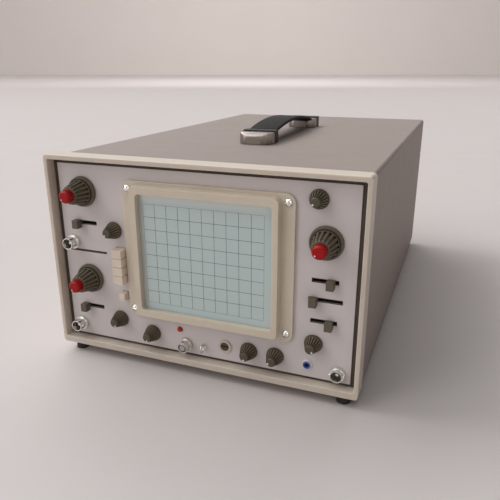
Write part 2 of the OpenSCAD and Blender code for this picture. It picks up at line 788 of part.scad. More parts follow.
// Hooded frame around the screen, with a pocket behind its lip for the graticule
module screen_bezel() color("#b2aa96") place() translate([screen_x, 0, screen_z]) difference() {
    flange_y = panel_in - flange_t;
    union() {
        sheet(flange_y, panel_in) centred(flange_w, flange_h, flange_r);
        hull() {
            sheet(flange_y, flange_y + eps)
                centred(hood_w + 2 * hood_draft, hood_h + 2 * hood_draft, hood_r + hood_draft);
            sheet(flange_y - hood_l, flange_y - hood_l + eps) centred(hood_w, hood_h, hood_r);
        }
    }
    sheet(flange_y - hood_l - eps, panel_in + eps) centred(opening_w, opening_h, opening_r);
    sheet(panel_in - graticule_t - fit, panel_in + eps)
        centred(graticule_w + 2 * fit, graticule_h + 2 * fit, opening_r);
    for (x = [-1, 1], z = [-1, 1]) translate([x * bezel_screw_w / 2, 0, z * bezel_screw_h / 2]) {
        rod(screw_r + fit, flange_y - eps, panel_in + eps);
        rod(screw_head_r + fit, flange_y - hood_l - eps, flange_y);
    }
}

// Round-headed screw along Y with its head's seat at y, driven towards +Y
module screw(y, l) {
    difference() {
        intersection() {
            rod(screw_head_r, y - screw_head_h, y);
            translate([0, y - screw_head_h + screw_dome_r, 0]) sphere(screw_dome_r);
        }
        bar(2 * screw_head_r + eps, screw_slot_w, y - screw_head_h - eps, y - screw_head_h + screw_slot_d);
    }
    rod(screw_r, y - eps, y + l);
}

module screen_screws() color("#d8d8d6") place() {
    for (x = [-1, 1], z = [-1, 1])
        translate([screen_x + x * bezel_screw_w / 2, 0, screen_z + z * bezel_screw_h / 2])
            screw(panel_in - flange_t, bezel_screw_l);
}

module graticule() color("#a0acac") place() translate([screen_x, 0, screen_z])
    sheet(panel_in - graticule_t, panel_in) centred(graticule_w, graticule_h, opening_r);

// Glass tube: square face, funnel and round neck
module picture_tube() color("#9aa8a4") place() translate([screen_x, 0, screen_z]) {
    sheet(tube_y, tube_y + tube_face_d) centred(tube_face_w, tube_face_h, opening_r);
    hull() {
        sheet(tube_y + tube_face_d - eps, tube_y + tube_face_d) centred(tube_face_w, tube_face_h, opening_r);
        rod(neck_d / 2, neck_y, neck_y + eps);
    }
    rod(neck_d / 2, neck_y, neck_y + neck_l);
}

module tube_shield() color("#7d7f82") place() translate([screen_x, 0, screen_z]) difference() {
    rod(shield_r, neck_y + shield_end, neck_y + neck_l - shield_end);
    rod(neck_d / 2 + 2 * fit, neck_y, neck_y + neck_l);
}

module tube_socket() color("#2b2a28") place() translate([screen_x, neck_y + neck_l, screen_z]) difference() {
    rod(socket_d / 2, 0, socket_l);
    rod(socket_key_r, socket_l / 2, socket_l + eps);
}

// Cross plate between the rails that carries the tube in its shield
module tube_bracket() color("#8a8f93") place() difference() {
    w = 2 * (rail_x - rail_w);
    translate([-w / 2, bracket_y, screen_z - bracket_h / 2]) cube([w, bracket_t, bracket_h]);
    translate([screen_x, 0, screen_z]) rod(shield_r + running, bracket_y - eps, bracket_y + bracket_t + eps);
}

module side_rails() color("#8a8f93") place() for (s = [0, 1]) mirror([s, 0, 0])
    translate([rail_x - rail_w, rear_of_backing, rail_z])
        cube([rail_w, rear_y - rear_t - rear_of_backing, rail_h]);

module circuit_board() color("#3c6b45") place()
    translate([-board_w / 2, board_y, board_z]) cube([board_w, board_l, board_t]);

module board_posts() color("#c0c0bc") place()
    for (x = [-1, 1], y = [post_in, board_l / 2, board_l - post_in])
        translate([x * (board_w / 2 - post_in), board_y + y, sheet_t]) cylinder(d = post_d, h = post_h);

// Laminated core standing on the bottom cover with its coil through the middle
module transformer() color("#6a5a48") place()
    translate([core_x, rear_y - rear_t - core_gap - coil_l / 2, sheet_t]) {
        translate([-core_w / 2, -core_t / 2, 0]) cube([core_w, core_t, core_h]);
        translate([0, 0, core_h / 2]) sheet(-coil_l / 2, coil_l / 2)
            centred(core_w / 2 + 2 * coil_grow, core_h - 2 * coil_grow, coil_r);
    }

// Recessed three-blade inlet, closed behind, with two cut corners at the top
module power_inlet() color("#262422") place() translate([-inlet_x, 0, inlet_z]) {
    face = rear_y + inlet_flange_t;
    difference() {
        union() {
            bar(inlet_outer_w + 2 * inlet_flange, inlet_outer_h + inlet_flange, rear_y, face);
            bar(inlet_outer_w, inlet_outer_h, face - inlet_d - inlet_wall, face);
        }
        sheet(face - inlet_d, face + eps) polygon([
            [-inlet_w / 2, -inlet_h / 2],
            [inlet_w / 2, -inlet_h / 2],
            [inlet_w / 2, inlet_h / 2 - inlet_chamfer],
            [inlet_w / 2 - inlet_chamfer, inlet_h / 2],
            [-inlet_w / 2 + inlet_chamfer, inlet_h / 2],
            [-inlet_w / 2, inlet_h / 2 - inlet_chamfer]
        ]);
    }
    for (x = [-1, 1]) translate([x * blade_spread, 0, -blade_drop])
        bar(blade_t, blade_w, face - inlet_d - eps, face - inlet_d + blade_l);
    translate([0, 0, blade_rise]) bar(blade_t, blade_w, face - inlet_d - eps, face - inlet_d + blade_l);
}

module fuse_holder() color("#262422") place() translate([-inlet_x, 0, inlet_z + fuse_up]) difference() {
    union() {
        rod(fuse_cap_d / 2, rear_y, rear_y + fuse_cap_l);
        rod(fuse_r, rear_y - fuse_l, rear_y + eps);
    }
    translate([0, rear_y + fuse_cap_l, 0])
        bar(fuse_cap_d - 2 * fuse_slot_w, fuse_slot_w, -fuse_slot_d, eps);
}

// Four rubber feet with a screw recess underneath
module feet() color("#211f1d") place()
    for (x = [-1, 1], y = [foot_in_front, body_d - foot_in_rear])
        translate([x * (body_w / 2 - foot_in_x), y, -foot_h]) difference() {
            cylinder(d1 = foot_d, d2 = foot_top_d, h = foot_h);
            translate([0, 0, -eps]) cylinder(r = foot_recess_r, h = foot_recess_d + eps);
        }

module case_screws() color("#b9b7b2") place() for (s = [0, 1]) mirror([s, 0, 0])
    translate([case_w / 2, body_d - side_screw_in, side_screw_z]) rotate([0, 90, 0]) {
        difference() {
            cylinder(r = screw_head_r, h = side_screw_head_h);
            translate([-screw_head_r, -screw_slot_w / 2, side_screw_head_h - screw_slot_d])
                cube([2 * screw_head_r, screw_slot_w, side_screw_head_h]);
        }
        translate([0, 0, -side_screw_l]) cylinder(r = screw_r, h = side_screw_l + eps);
    }

// Strap as an arched band between the two handle ends
module handle_strap() color("#24211f") place() {
    mid = (strap_y0 + strap_y1) / 2;
    centre_z = case_top + end_h - strap_t + strap_rise - strap_radius;
    translate([handle_x - strap_w / 2, 0, 0]) rotate([90, 0, 90]) linear_extrude(strap_w) intersection() {
        difference() {
            translate([mid, centre_z + strap_t]) circle(strap_radius, $fn = 360);
            translate([mid, centre_z]) circle(strap_radius, $fn = 360);
        }
        translate([strap_y0, case_top]) square([strap_chord, end_h + strap_rise + strap_t]);
    }
}

// Outline of a handle end from above, with round front corners
module end_plan(w, l, r) {
    translate([-w / 2, r]) square([w, l - r]);
    translate([-w / 2 + r, 0]) square([w - 2 * r, l]);
    for (s = [-1, 1]) translate([s * (w / 2 - r), r]) circle(r);
}

// Handle end with round front corners in plan and a rolled edge along the top of its front
module end_form(w, l, h, r, roll) intersection() {
    linear_extrude(h) end_plan(w, l, r);
    translate([-w / 2, 0, 0]) rotate([90, 0, 90]) linear_extrude(w) {
        square([l, h - roll]);
        translate([roll, 0]) square([l - roll, h]);
        translate([roll, h - roll]) circle(roll);
    }
}

// Dark moulded ends that carry the strap
module handle_ends() color("#1e1c1b") place() for (y = [handle_front, handle_front + handle_span])
    translate([handle_x, y, case_top]) {
        translate([0, cover_t, 0])
            end_form(core_end_w, cover_l, cover_h - cover_t, core_end_r, core_end_roll);
        translate([-end_w / 2, cover_l, 0]) cube([end_w, end_l - cover_l, end_h]);
    }

// Bright covers over the front of each handle end
module handle_covers() color("#d4d2cc") place() for (y = [handle_front, handle_front + handle_span])
    translate([handle_x, y, case_top]) difference() {
        end_form(end_w, cover_l, cover_h, cover_r, cover_roll);
        translate([0, cover_t, -eps])
            end_form(core_end_w, cover_l, cover_h - cover_t + eps, core_end_r, core_end_roll);
    }

// Lengthwise grooves around a tapered grip, ending before its base
module flutes(r1, r2, y1, y2, count, r, end) {
    lean = atan2(r2 - r1, y2 - y1);
    for (i = [0 : count - 1]) rotate([0, i * 360 / count, 0])
        translate([r1, y1, 0]) rotate([0, 0, -lean]) rod(r, -r, (y2 - y1) / cos(lean) - end);
}

// Fluted knob along Y with a skirt at the panel and a tapered grip in front of it
module fluted_knob(skirt_r, skirt_l, base_r, front_r, length, count, groove, end) {
    y2 = panel_in - knob_gap;
    y1 = y2 - skirt_l;
    y0 = y1 - length;
    difference() {
        union() {
            taper(skirt_r - skirt_l / 4, skirt_r, y1, y2);
            taper(front_r, base_r, y0 + tip_round, y1 + eps);
            taper(front_r - tip_round, front_r, y0, y0 + tip_round);
        }
        flutes(front_r, base_r, y0, y1, count, groove, end);
        rod(bush_r + fit, y2 - bush_out, y2 + eps);
    }
}

// Outer knob of a range switch on its hollow shaft
module range_knob(p) color("#3e3a2e") place() at(p) {
    tail = rear_of_backing + switch_d - shaft_end;
    difference() {
        union() {
            fluted_knob(
                skirt_d / 2, skirt_t, grip_base_d / 2, grip_front_d / 2,
                grip_l, flute_count, flute_r, flute_end
            );
            rod(shaft_r, panel_in - knob_gap - bush_out - eps, tail - shaft_end);
        }
        rod(inner_shaft_r + running, grip_y - eps, tail + eps);
    }
}

// Red cap on the inner shaft of a range switch
module variable_cap(p) color("#aa1616") place() at(p) {
    y2 = grip_y - fit;
    y1 = y2 - cap_l;
    difference() {
        union() {
            taper(cap_d / 2 - cap_round, cap_d / 2, y1, y1 + cap_round);
            rod(cap_d / 2, y1 + cap_round, y2);
        }
        for (i = [0 : cap_flute_count - 1]) rotate([0, i * 360 / cap_flute_count, 0])
            translate([cap_d / 2, 0, 0]) rod(cap_flute_r, y1 - eps, y2 - cap_flute_r);
    }
    rod(inner_shaft_r, y2 - eps, rear_of_backing + switch_d + pot_d - 2 * shaft_end);
}

// Small knob on a solid shaft
module small_knob(p) color("#3e3a2e") place() at(p) {
    fluted_knob(
        small_skirt_d / 2, small_skirt_t, small_base_d / 2, small_front_d / 2,
        small_grip_l, small_flute_count, small_flute_r, small_flute_end
    );
    rod(shaft_r, panel_in - knob_gap - bush_out - eps, rear_of_backing + pot_shaft_in - shaft_end);
}

// Slide switch cap on a flat stem through its slot; x is its middle and z the slot's
module slide_cap(x, z) color("#3e3a2e") place() translate([x, 0, z]) {
    translate([0, 0, -slide_drop]) bar(slide_w, slide_h, panel_in - slide_out, panel_in - knob_gap);
    bar(slide_w, stem_t, panel_in - knob_gap - eps, rear_of_backing + slide_stem_in);
}

// Push-button through the panel with a plunger behind; x and z are its middle
module push_button(x, z, w, h, out) color("#b6ab98") place() translate([x, 0, z]) {
    sheet(panel_in - out, rear_of_backing) centred(w, h, button_round);
    bar(plunger_w, plunger_w, rear_of_backing - eps, rear_of_backing + button_travel + plunger_l);
}

module display_button(i) push_button(button_x, BUTTON_ZS[i], button_w, button_h, button_out);

module ch1_range_knob() range_knob(CH1_RANGE);
module ch2_range_knob() range_knob(CH2_RANGE);
module timebase_knob() range_knob(TIMEBASE);
module ch1_variable_cap() variable_cap(CH1_RANGE);
module ch2_variable_cap() variable_cap(CH2_RANGE);
module timebase_variable_cap() variable_cap(TIMEBASE);
module ch1_position_knob() small_knob(CH1_POSITION);
module ch2_position_knob() small_knob(CH2_POSITION);
module intensity_knob() small_knob(INTENSITY);
module focus_knob() small_knob(FOCUS);
module scale_light_knob() small_knob(SCALE_LIGHT);
module level_knob() small_knob(LEVEL);
module horizontal_knob() small_knob(HORIZONTAL);
module ch1_coupling_slide() slide_cap(ch_slot[0] + fit + slide_w / 2, up(ch1_slide_z));
module ch2_coupling_slide() slide_cap(ch_slot[0] + fit + slide_w / 2, up(ch2_slide_z));
module mode_slide() slide_cap(trigger_slot[1] - fit - trigger_rest - slide_w / 2, up(mode_z));
module source_slide() slide_cap(source_slot[0] + fit + source_rest + slide_w / 2, up(source_z));
module slope_slide() slide_cap(trigger_slot[1] - fit - trigger_rest - slide_w / 2, up(slope_z));
module display_button_1() display_button(0);
module display_button_2() display_button(1);
module display_button_3() display_button(2);
module display_button_4() display_button(3);
module invert_button() push_button(invert_x, up(invert_z), invert_w, invert_h, invert_out);

// Power button with a narrower front, running in its collar
module power_button() color("#c9c8c4") place() at(POWER) {
    r = power_tip_d / 2;
    y1 = panel_in - power_out;
    taper(r - power_edge, r, y1, y1 + power_edge);
    rod(r, y1 + power_edge, panel_in);
    rod(power_d / 2, panel_in - power_guide, rear_of_backing + power_shoulder);
}

// Threaded collar of the power button with its nut on the panel
module power_collar() color("#cfcdc8") place() at(POWER) difference() {
    union() {
        rod(collar_d / 2, panel_in - collar_l, rear_of_backing);
        rod(collar_nut_d / 2, panel_in - collar_nut_t, panel_in);
    }
    for (i = [0 : knurl_count - 1]) rotate([0, i * 360 / knurl_count, 0])
        translate([collar_nut_d / 2, 0, 0]) rod(knurl_r, panel_in - collar_nut_t - eps, panel_in + eps);
    rod(power_d / 2 + running, panel_in - collar_l - eps, rear_of_backing + eps);
}

module power_lamp() color("#7a1010") place() at(LAMP) {
    translate([0, panel_in - lamp_out, 0]) sphere(d = lamp_d);
    rod(lamp_d / 2, panel_in - lamp_out, rear_of_backing + lamp_tail);
}

// Bayonet input sockets: shell, two lugs, flange on the panel and rear body
module input_sockets() color("#c4c2bc") place() for (p = INPUTS) at(p) {
    y1 = panel_in - p[2];
    difference() {
        union() {
            rod(input_d / 2, y1, panel_in);
            rod(input_flange_d / 2, panel_in - input_flange_t, panel_in);
            rod(input_thread_r, panel_in - eps, rear_of_backing + eps);
            rod(input_rear_r, rear_of_backing, rear_of_backing + input_rear_d);
            translate([0, y1 + lug_in, 0]) rotate([0, 90, 0])
                cylinder(r = lug_r, h = input_d + 2 * lug_out, center = true);
        }
        rod(input_bore_d / 2, y1 - eps, rear_of_backing);
    }
}

// Insulator with a hollow centre contact, inside each input socket
module input_contacts() color("#c9b26a") place() for (p = INPUTS) at(p) {
    y1 = panel_in - p[2] + input_recess;
    difference() {
        union() {
            rod(insulator_boss_r, y1, y1 + insulator_boss_l + eps);
            rod(input_bore_d / 2 - running, y1 + insulator_boss_l, rear_of_backing);
        }
        rod(contact_r, y1 - eps, y1 + insulator_boss_l + insulator_t);
    }
}

module earth_socket() color("#23357a") place() at(EARTH) {
    y1 = panel_in - earth_out;
    difference() {
        union() {
            rod(earth_d / 2, y1, y1 + earth_bore_l + earth_tail);
            rod(earth_nut_r, rear_of_backing, rear_of_backing + earth_nut_t);
        }
        rod(earth_bore_d / 2, y1 - eps, y1 + earth_bore_l);
    }
}

module earth_collar() color("#d6d2d6") place() at(EARTH) difference() {
    taper(earth_collar_d / 2 - earth_collar_t / 3, earth_collar_d / 2, panel_in - earth_collar_t, panel_in);
    rod(earth_d / 2 + running, panel_in - earth_collar_t - eps, panel_in + eps);
}

// Trimmer set with a screwdriver
module trimmer() color("#3a3628") place() at(TRIMMER) {
    y1 = panel_in - trimmer_bush_t + trimmer_in;
    y2 = rear_of_backing - fit;
    difference() {
        rod(trimmer_d / 2, y1, y2);
        bar(trimmer_d + eps, trimmer_slot_w, y1 - eps, y1 + trimmer_slot_d);
    }
    rod(trimmer_shaft_r, y2 - eps, rear_of_backing + trimmer_shaft_l - shaft_end);
}

module trimmer_bush() color("#b8ad97") place() at(TRIMMER) difference() {
    union() {
        rod(trimmer_bush_d / 2, panel_in - trimmer_bush_t, panel_in);
        rod(trimmer_d / 2 + sheet_t, panel_in - eps, rear_of_backing);
    }
    rod(trimmer_d / 2 + running, panel_in - trimmer_bush_t - eps, rear_of_backing + eps);
}

// Wire loop on a stud, for clipping a probe to
module calibration_loop() color("#cfcdc6") place() at(LOOP) {
    rod(loop_base_r, panel_in - loop_base_t, panel_in);
    rod(loop_stud_r, panel_in - eps, panel_in + loop_stud_l);
    translate([0, panel_in - loop_base_t - loop_d / 2, 0]) rotate([0, 90, 0])
        rotate_extrude() translate([loop_d / 2, 0]) circle(d = loop_wire_d, $fn = 24);
}

// Bodies of the range switches, potentiometers and trimmer, with their bearings
module rotary_controls() color("#7c7a74") place() {
    for (p = RANGES) at(p) difference() {
        union() {
            rod(bush_r, panel_in - bush_out, rear_of_backing + eps);
            rod(switch_r, rear_of_backing, rear_of_backing + switch_d);
            rod(pot_r, rear_of_backing + switch_d - eps, rear_of_backing + switch_d + pot_d);
        }
        rod(shaft_r + running, panel_in - bush_out - eps, rear_of_backing + switch_d - shaft_end);
        rod(inner_shaft_r + running, panel_in, rear_of_backing + switch_d + pot_d - shaft_end);
    }
    for (p = POTS) at(p) difference() {
        union() {
            rod(bush_r, panel_in - bush_out, rear_of_backing + eps);
            rod(pot_r, rear_of_backing, rear_of_backing + pot_d);
        }
        rod(shaft_r + running, panel_in - bush_out - eps, rear_of_backing + pot_shaft_in);
    }
    at(TRIMMER) difference() {
        rod(trimmer_body_r, rear_of_backing, rear_of_backing + trimmer_body_d);
        rod(trimmer_shaft_r + running, rear_of_backing - eps, rear_of_backing + trimmer_shaft_l);
    }
}

module slide_switches() color("#57534c") place() for (s = SLOTS) difference() {
    translate([s[0] - slide_body_end, rear_of_backing, s[2] - slide_body_h / 2])
        cube([s[1] - s[0] + 2 * slide_body_end, slide_body_d, slide_body_h]);
    translate([s[0], rear_of_backing - eps, s[2] - slot_h / 2])
        cube([s[1] - s[0], slide_stem_in + fit + eps, slot_h]);
}

// Switch body behind push-buttons, open for w by h at the panel and with a guide at each of the heights zs
module bank(x, z, w, h, zs) translate([x, 0, z]) difference() {
    bar(w + 2 * bank_wall, h + 2 * bank_wall, rear_of_backing, rear_of_backing + bank_d);
    bar(w, h, rear_of_backing - eps, rear_of_backing + button_travel + fit);
    for (guide = zs) translate([0, 0, guide - z]) bar(
        plunger_w + 2 * running,
        plunger_w + 2 * running,
        rear_of_backing,
        rear_of_backing + 2 * button_travel + plunger_l + fit
    );
}

// Switch bodies behind the push-buttons, and the power switch
module button_switches() color("#57534c") place() {
    bank(button_x, up(button_z), button_w + 2 * fit, bank_h, BUTTON_ZS);
    bank(invert_x, up(invert_z), invert_w + 2 * fit, invert_h + 2 * fit, [up(invert_z)]);
    at(POWER) difference() {
        rod(power_body_r, rear_of_backing, rear_of_backing + power_body_d);
        rod(power_d / 2 + running, rear_of_backing - eps, rear_of_backing + power_stop);
    }
}

case_cover();
bottom_cover();
front_bezel();
backing_panel();
front_panel();
rear_panel();
screen_bezel();
screen_screws();
graticule();
picture_tube();
tube_shield();
tube_socket();
tube_bracket();
side_rails();
circuit_board();
board_posts();
transformer();
power_inlet();
fuse_holder();
feet();
case_screws();
handle_strap();
handle_ends();
handle_covers();
ch1_range_knob();
ch2_range_knob();
timebase_knob();
ch1_variable_cap();
ch2_variable_cap();
timebase_variable_cap();
ch1_position_knob();
ch2_position_knob();
intensity_knob();
focus_knob();
scale_light_knob();
level_knob();
horizontal_knob();
ch1_coupling_slide();
ch2_coupling_slide();
mode_slide();
source_slide();
slope_slide();
display_button_1();
display_button_2();
display_button_3();
display_button_4();
invert_button();
power_button();
power_collar();
power_lamp();
input_sockets();
input_contacts();
earth_socket();
earth_collar();
trimmer();
trimmer_bush();
calibration_loop();
rotary_controls();
slide_switches();
button_switches();
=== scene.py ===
import json
import math

import bmesh
import bpy
from mathutils import Matrix, Vector


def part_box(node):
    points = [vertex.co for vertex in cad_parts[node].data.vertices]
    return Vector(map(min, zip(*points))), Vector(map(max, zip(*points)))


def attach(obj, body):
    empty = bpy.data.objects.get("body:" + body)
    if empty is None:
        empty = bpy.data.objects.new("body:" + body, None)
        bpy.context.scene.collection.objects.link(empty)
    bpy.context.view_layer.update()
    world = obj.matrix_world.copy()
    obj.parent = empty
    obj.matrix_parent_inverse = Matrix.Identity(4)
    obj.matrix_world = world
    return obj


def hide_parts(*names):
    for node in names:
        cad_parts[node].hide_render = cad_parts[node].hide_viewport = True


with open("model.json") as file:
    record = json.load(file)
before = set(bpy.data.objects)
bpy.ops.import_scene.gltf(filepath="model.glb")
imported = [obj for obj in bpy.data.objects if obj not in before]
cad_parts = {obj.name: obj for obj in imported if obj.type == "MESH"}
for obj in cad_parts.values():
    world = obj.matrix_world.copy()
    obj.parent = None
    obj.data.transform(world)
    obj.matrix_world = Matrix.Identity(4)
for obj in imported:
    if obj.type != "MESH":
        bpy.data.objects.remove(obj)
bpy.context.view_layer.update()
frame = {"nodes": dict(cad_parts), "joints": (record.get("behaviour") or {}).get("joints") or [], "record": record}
nodes = frame["nodes"]
scene = bpy.context.scene

# Sizes are written in millimetres, and MM turns them into the frame's metres
MM = 0.001


def middle(name):
    """The middle of a CAD node's box."""
    low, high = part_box(name)
    return (low + high) / 2


def srgb(r, g, b):
    """A colour as seen on a screen, 0 to 255, as linear numbers."""
    return [((c / 255 + 0.055) / 1.055) ** 2.4 if c > 10 else c / 255 / 12.92 for c in (r, g, b)]


# Building blocks of the materials

# Most of a noise texture lies between these values
NOISE_LOW = 0.3
NOISE_HIGH = 0.7


def new_material(name):
    material = bpy.data.materials.new(name)
    material.use_nodes = True
    return material, material.node_tree, material.node_tree.nodes["Principled BSDF"]


def noise(tree, scale, detail=4.0, rough=0.55, stretch=(1, 1, 1)):
    """Noise in the object's own space; scale is about the number of patches a metre."""
    place = tree.nodes.new("ShaderNodeTexCoord")
    mapping = tree.nodes.new("ShaderNodeMapping")
    mapping.inputs["Scale"].default_value = stretch
    texture = tree.nodes.new("ShaderNodeTexNoise")
    texture.inputs["Scale"].default_value = scale
    texture.inputs["Detail"].default_value = detail
    texture.inputs["Roughness"].default_value = rough
    tree.links.new(place.outputs["Object"], mapping.inputs["Vector"])
    tree.links.new(mapping.outputs["Vector"], texture.inputs["Vector"])
    return texture.outputs["Fac"]


def ramp(tree, value, low, dark, high, light):
    """A colour that goes from dark to light as a value goes from low to high."""
    node = tree.nodes.new("ShaderNodeValToRGB")
    for band, position, colour in zip(node.color_ramp.elements, (low, high), (dark, light)):
        band.position = position
        band.color = (*colour, 1)
    tree.links.new(value, node.inputs["Fac"])
    return node.outputs["Color"]


def spread(tree, value, low, high):
    """Maps a noise to the range low to high."""
    node = tree.nodes.new("ShaderNodeMapRange")
    node.inputs["From Min"].default_value = NOISE_LOW
    node.inputs["From Max"].default_value = NOISE_HIGH
    node.inputs["To Min"].default_value = low
    node.inputs["To Max"].default_value = high
    tree.links.new(value, node.inputs["Value"])
    return node.outputs["Result"]


def step(tree, value, start, end):
    """Rises softly from 0 to 1 as a value goes from start to end."""
    node = tree.nodes.new("ShaderNodeMapRange")
    node.interpolation_type = "SMOOTHSTEP"
    node.inputs["From Min"].default_value = start
    node.inputs["From Max"].default_value = end
    tree.links.new(value, node.inputs["Value"])
    return node.outputs["Result"]


def calculate(tree, operation, one, two):
    """One step of arithmetic on a value and a value or a number."""
    node = tree.nodes.new("ShaderNodeMath")
    node.operation = operation
    tree.links.new(one, node.inputs[0])
    if isinstance(two, (int, float)):
        node.inputs[1].default_value = two
    else:
        tree.links.new(two, node.inputs[1])
    return node.outputs["Value"]


def multiply(tree, one, two):
    node = tree.nodes.new("ShaderNodeMixRGB")
    node.blend_type = "MULTIPLY"
    node.inputs["Fac"].default_value = 1.0
    tree.links.new(one, node.inputs["Color1"])
    tree.links.new(two, node.inputs["Color2"])
    return node.outputs["Color"]


def blend_colour(tree, paint, share, colour):
    """Mixes a colour into a paint by a share that changes over the surface."""
    node = tree.nodes.new("ShaderNodeMixRGB")
    node.inputs["Color2"].default_value = (*colour, 1)
    tree.links.new(share, node.inputs["Fac"])
    tree.links.new(paint, node.inputs["Color1"])
    return node.outputs["Color"]


def bump(tree, value, shader, strength, distance):
    node = tree.nodes.new("ShaderNodeBump")
    node.inputs["Strength"].default_value = strength
    node.inputs["Distance"].default_value = distance
    tree.links.new(value, node.inputs["Height"])
    tree.links.new(node.outputs["Normal"], shader.inputs["Normal"])


def paint_groove_shade(tree, paint, reach, shares):
    """Painted shade: darkens a paint where the surface is closed in within a short reach.

    shares are the open part of the sky at which the paint is darkest and at which it is plain.
    """
    closed = tree.nodes.new("ShaderNodeAmbientOcclusion")
    closed.inputs["Distance"].default_value = reach * MM
    closed.only_local = True
    # Colour of the painted shade where a groove is most closed in, and no change where it is open
    painted_shade = (0.03, 0.025, 0.02)
    unshaded = (1, 1, 1)
    return multiply(tree, paint, ramp(tree, closed.outputs["AO"], shares[0], painted_shade, shares[1], unshaded))


def paint_flute_shade(tree, paint):
    """Painted shade along the bottoms of a small knob's flutes, a darker front face and a darker rim.

    The small knobs are alike, so one knob's size serves all. A flute gets painted shade within the first of
    two distances from its middle and is plain from the second on, between the face and the rim.
    """
    flutes = 18
    shaded, unshaded = 0.45, 0.625
    face_radius, rim_radius = 3.6, 6.2
    blend, inner_fade, outer_fade = 0.4, 0.5, 0.2
    low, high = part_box("level_knob")
    across = (high.x - low.x) / MM
    place = tree.nodes.new("ShaderNodeTexCoord")
    mapping = tree.nodes.new("ShaderNodeMapping")
    mapping.inputs["Location"].default_value = (-across / 2, 0, -across / 2)
    mapping.inputs["Scale"].default_value = (across, 0, across)
    tree.links.new(place.outputs["Generated"], mapping.inputs["Vector"])
    split = tree.nodes.new("ShaderNodeSeparateXYZ")
    tree.links.new(mapping.outputs["Vector"], split.inputs["Vector"])
    length = tree.nodes.new("ShaderNodeVectorMath")
    length.operation = "LENGTH"
    tree.links.new(mapping.outputs["Vector"], length.inputs[0])
    radius = length.outputs["Value"]
    angle = calculate(tree, "ARCTAN2", split.outputs["Z"], split.outputs["X"])
    from_flute = calculate(tree, "PINGPONG", angle, math.pi / flutes)
    aside = calculate(tree, "MULTIPLY", from_flute, radius)
    groove = step(tree, aside, unshaded, shaded)
    outside_face = step(tree, radius, face_radius - inner_fade, face_radius)
    inside_rim = step(tree, radius, rim_radius + outer_fade, rim_radius)
    groove = calculate(tree, "MULTIPLY", groove, outside_face)
    groove = calculate(tree, "MULTIPLY", groove, inside_rim)
    face = step(tree, radius, face_radius, face_radius - blend)
    rim = step(tree, radius, rim_radius, rim_radius + blend)
    paint = blend_colour(tree, paint, rim, srgb(78, 69, 54))
    # Painted shade in the bottoms of the flutes
    paint = blend_colour(tree, paint, groove, srgb(10, 8, 5))
    return blend_colour(tree, paint, face, srgb(77, 68, 52))


def surface(name, colour, vary, blotch, rough, grain=2600, height=0.02, strength=0.2, stretch=(1, 1, 1),
            metallic=0.0, specular=0.5, coat=0.0, depth=0.0, painted_shade=None, shares=(0.66, 0.96), flutes=False):
    """A procedural finish: soft changes of colour, fine grain in the surface and uneven gloss.

    vary is the share by which the colour changes, in blotch patches a metre. rough is the least and the
    most roughness. grain is the number of grains a metre, with their height, strength and stretch. Given a
    reach in millimetres for painted shade, narrow grooves and inner corners are painted darker as shade, by
    shares. With depth, the share of light that goes into the plastic and comes out nearby, thin walls glow
    a little in the shade. With flutes, the finish is a small knob's, with painted shade along its flutes.
    """
    gloss_per_blotch = 6
    material, tree, shader = new_material(name)
    shader.inputs["Metallic"].default_value = metallic
    shader.inputs["Coat Weight"].default_value = coat
    shader.inputs["Coat Roughness"].default_value = 0.12
    shader.inputs["Specular IOR Level"].default_value = specular
    shader.inputs["Subsurface Weight"].default_value = depth
    shader.inputs["Subsurface Radius"].default_value = (1.0, 0.9, 0.8)
    shader.inputs["Subsurface Scale"].default_value = 4 * MM
    dark = [c * (1 - vary) for c in colour]
    light = [min(c * (1 + vary), 1) for c in colour]
    paint = ramp(tree, noise(tree, blotch), NOISE_LOW, dark, NOISE_HIGH, light)
    # Painted shade in narrow grooves and inner corners
    if painted_shade:
        paint = paint_groove_shade(tree, paint, painted_shade, shares)
    # Painted shade along a small knob's flutes
    if flutes:
        paint = paint_flute_shade(tree, paint)
    tree.links.new(paint, shader.inputs["Base Color"])
    tree.links.new(spread(tree, noise(tree, blotch * gloss_per_blotch), *rough), shader.inputs["Roughness"])
    bump(tree, noise(tree, grain, detail=2.0, rough=0.5, stretch=stretch), shader, strength, height * MM)
    return material


def screen_face():
    """Pale screen: painted light along its top, bluer at its right and bottom, greyer along its left.

    Each edge has a soft band that starts where the plate comes out from under the frame's lip.
    """
    material, tree, shader = new_material("graticule_screen")
    low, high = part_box("graticule")
    under_lip = 1.4 * MM
    side_band, end_band = 5.0 * MM, 8.5 * MM
    grains, gloss_patches = 900, 60
    plain = srgb(190, 205, 204)
    darker = [c * 0.95 for c in plain]
    bluer = srgb(187, 203, 205)
    # Painted light along the top edge, where the frame's top lip would cast shade
    painted_top_light = srgb(222, 227, 223)
    greyer = srgb(190, 191, 184)
    place = tree.nodes.new("ShaderNodeTexCoord")
    split = tree.nodes.new("ShaderNodeSeparateXYZ")
    tree.links.new(place.outputs["Object"], split.inputs["Vector"])
    paint = ramp(tree, noise(tree, grains, detail=3), NOISE_LOW, darker, NOISE_HIGH, plain)
    for axis, edge, reach, colour in (
        ("X", high.x - under_lip, -side_band, bluer),
        ("Z", low.z + under_lip, end_band, bluer),
        ("Z", high.z - under_lip, -end_band, painted_top_light),
        ("X", low.x + under_lip, side_band, greyer),
    ):
        paint = blend_colour(tree, paint, step(tree, split.outputs[axis], edge + reach, edge), colour)
    tree.links.new(paint, shader.inputs["Base Color"])
    tree.links.new(spread(tree, noise(tree, gloss_patches), 0.10, 0.16), shader.inputs["Roughness"])
    shader.inputs["Coat Weight"].default_value = 0.4
    shader.inputs["Coat Roughness"].default_value = 0.04
    return material


# Finishes of the case and the front

